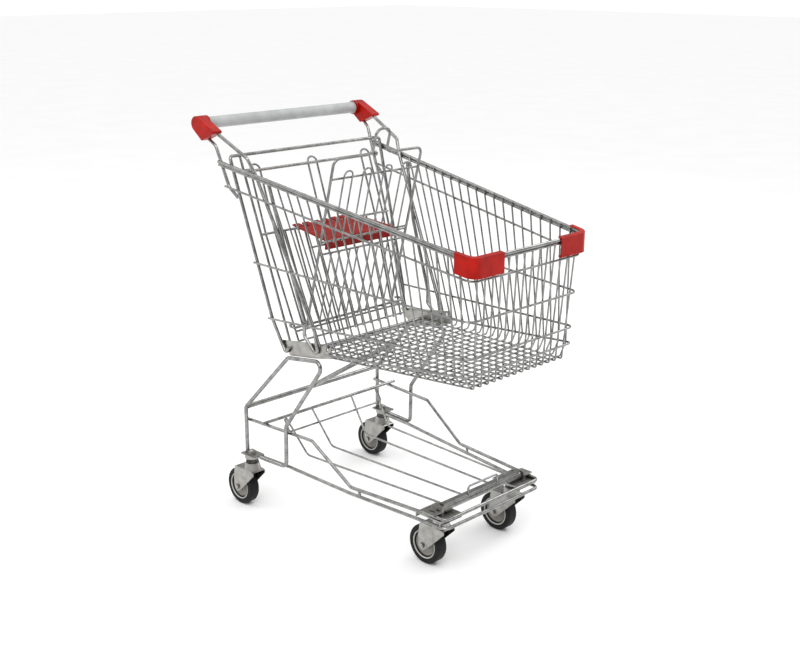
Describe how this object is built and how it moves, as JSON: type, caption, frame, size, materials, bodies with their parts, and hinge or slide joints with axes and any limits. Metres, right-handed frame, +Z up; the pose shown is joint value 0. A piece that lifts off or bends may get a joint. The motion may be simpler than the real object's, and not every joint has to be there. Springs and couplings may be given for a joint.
{
  "type": "shopping trolley",
  "caption": "Wheeled wire-basket shopping trolley with folding child seat, swinging rear gate, lower shelf and swivel casters.",
  "frame": {"origin": "on the floor, under the middle of the trolley's length and width", "axes": "+X is the direction of travel, away from the handle; +Z is up; +Y is the left side"},
  "size_m": [0.8283, 0.534, 0.971],
  "materials": {
    "bright_rod": "bright zinc-plated rod and wire",
    "zinc_sheet": "bright zinc-plated pressed sheet",
    "red_plastic": "moulded red plastic with a fine grain",
    "grey_plastic": "light grey moulded grip",
    "hub_grey": "grey moulded wheel centre",
    "tyre_black": "black rubber tread"
  },
  "bodies": {
    "chassis": {"base_rail": "bright_rod", "bumper_left": "red_plastic", "bumper_right": "red_plastic", "caster_kingpins": "zinc_sheet", "floor_cross_wires": "bright_rod", "floor_long_wires": "bright_rod", "floor_strut": "bright_rod", "front_caster_plates": "zinc_sheet", "front_wires": "bright_rod", "gate_stop_uprights": "bright_rod", "handle_cap_left": "red_plastic", "handle_cap_right": "red_plastic", "handle_core_tube": "bright_rod", "handle_grip": "grey_plastic", "leg_frame_left": "bright_rod", "leg_frame_right": "bright_rod", "main_uprights": "bright_rod", "rear_caster_plates": "zinc_sheet", "rear_crossbar": "bright_rod", "rear_floor_bar": "bright_rod", "rear_posts": "bright_rod", "rear_top_rod": "bright_rod", "rim_lower_rod": "bright_rod", "rim_top_rod": "bright_rod", "ring_wires": "bright_rod", "shelf_hinge_brackets": "zinc_sheet", "shelf_hinge_rod": "bright_rod", "shelf_rail": "bright_rod", "side_plate_left": "zinc_sheet", "side_plate_right": "zinc_sheet", "side_wires": "bright_rod"},
    "gate": {"gate_top_rod": "bright_rod", "gate_wires": "bright_rod", "gate_cross_wires": "bright_rod"},
    "seat_back": {"seat_back_frame": "bright_rod", "seat_back_hinge_rod": "bright_rod", "seat_back_wires": "bright_rod", "seat_back_cross_wires": "bright_rod"},
    "seat_flap": {"seat_plate": "red_plastic", "seat_plate_rod": "bright_rod"},
    "shelf": {"shelf_hinge_tube": "bright_rod", "shelf_rear_bar": "bright_rod", "shelf_wires": "bright_rod", "shelf_front_bar": "bright_rod"},
    "caster_front_left": {"fork_front_left": "zinc_sheet", "axle_bolt_front_left": "zinc_sheet"},
    "wheel_front_left": {"hub_front_left": "hub_grey", "tyre_front_left": "tyre_black"},
    "caster_front_right": {"fork_front_right": "zinc_sheet", "axle_bolt_front_right": "zinc_sheet"},
    "wheel_front_right": {"hub_front_right": "hub_grey", "tyre_front_right": "tyre_black"},
    "caster_rear_left": {"fork_rear_left": "zinc_sheet", "axle_bolt_rear_left": "zinc_sheet"},
    "wheel_rear_left": {"hub_rear_left": "hub_grey", "tyre_rear_left": "tyre_black"},
    "caster_rear_right": {"fork_rear_right": "zinc_sheet", "axle_bolt_rear_right": "zinc_sheet"},
    "wheel_rear_right": {"hub_rear_right": "hub_grey", "tyre_rear_right": "tyre_black"}
  },
  "joints": [
    {"name": "gate_swing", "type": "hinge", "parent": "chassis", "child": "gate", "pos_m": [-0.283, 0, 0.84725], "axis": [0, -1, 0], "range_deg": [0, 60]},
    {"name": "seat_back_fold", "type": "hinge", "parent": "gate", "child": "seat_back", "pos_m": [-0.16509, 0, 0.48911], "axis": [0, -1, 0], "range_deg": [0, 13]},
    {"name": "seat_flap_lift", "type": "hinge", "parent": "gate", "child": "seat_flap", "pos_m": [-0.23397, 0, 0.70443], "axis": [0, -1, 0], "range_deg": [0, 91.5]},
    {"name": "shelf_lift", "type": "hinge", "parent": "chassis", "child": "shelf", "pos_m": [0.283, 0, 0.15], "axis": [0, 1, 0], "range_deg": [0, 6.5]},
    {"name": "swivel_front_left", "type": "hinge", "parent": "chassis", "child": "caster_front_left", "pos_m": [0.274, 0.123, 0.1], "axis": [0, 0, 1], "continuous": true},
    {"name": "roll_front_left", "type": "hinge", "parent": "caster_front_left", "child": "wheel_front_left", "pos_m": [0.234, 0.123, 0.047], "axis": [0, 1, 0], "continuous": true},
    {"name": "swivel_front_right", "type": "hinge", "parent": "chassis", "child": "caster_front_right", "pos_m": [0.274, -0.123, 0.1], "axis": [0, 0, 1], "continuous": true},
    {"name": "roll_front_right", "type": "hinge", "parent": "caster_front_right", "child": "wheel_front_right", "pos_m": [0.234, -0.123, 0.047], "axis": [0, 1, 0], "continuous": true},
    {"name": "swivel_rear_left", "type": "hinge", "parent": "chassis", "child": "caster_rear_left", "pos_m": [-0.278, 0.226, 0.1], "axis": [0, 0, 1], "continuous": true},
    {"name": "roll_rear_left", "type": "hinge", "parent": "caster_rear_left", "child": "wheel_rear_left", "pos_m": [-0.318, 0.226, 0.047], "axis": [0, 1, 0], "continuous": true},
    {"name": "swivel_rear_right", "type": "hinge", "parent": "chassis", "child": "caster_rear_right", "pos_m": [-0.278, -0.226, 0.1], "axis": [0, 0, 1], "continuous": true},
    {"name": "roll_rear_right", "type": "hinge", "parent": "caster_rear_right", "child": "wheel_rear_right", "pos_m": [-0.318, -0.226, 0.047], "axis": [0, 1, 0], "continuous": true}
  ],
  "couplings": [
    {"joint": "seat_flap_lift", "follows": "seat_back_fold", "ratio": 7}
  ]
}
